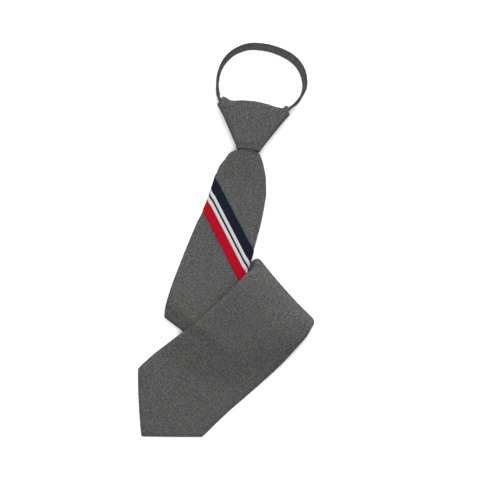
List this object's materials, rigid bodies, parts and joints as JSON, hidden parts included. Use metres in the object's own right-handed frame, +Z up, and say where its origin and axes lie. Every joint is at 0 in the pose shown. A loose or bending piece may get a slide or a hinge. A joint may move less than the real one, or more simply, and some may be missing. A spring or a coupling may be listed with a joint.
{
  "type": "zipper tie",
  "caption": "Ready-tied grey wool necktie on a zipped neck loop, laid flat with its blade folded twice and a slanted striped ribbon across it.",
  "frame": {"origin": "on the surface that the tie lies on, under the middle of its outline", "axes": "+X to the right and +Y up the tie towards its neck loop as seen from above, +Z up from the surface"},
  "size_m": [0.1502, 0.3356, 0.0153],
  "materials": {
    "wool": "plain-weave heather grey wool, cut on the bias, matt",
    "band_wool": "the same grey wool in a narrow folded strap, matt",
    "ribbon_navy": "navy ribbed woven ribbon, faint sheen",
    "ribbon_white": "off-white ribbed woven ribbon, faint sheen",
    "ribbon_red": "red ribbed woven ribbon, faint sheen",
    "zip": "dark grey coil zip and slider, satin"
  },
  "bodies": {
    "root": {"knot_cover": "wool", "blade": "wool", "neck_band": "band_wool", "zip_closure": "zip", "ribbon_navy": "ribbon_navy", "ribbon_white_upper": "ribbon_white", "ribbon_pin_line": "ribbon_navy", "ribbon_white_lower": "ribbon_white", "ribbon_red": "ribbon_red"}
  },
  "joints": []
}
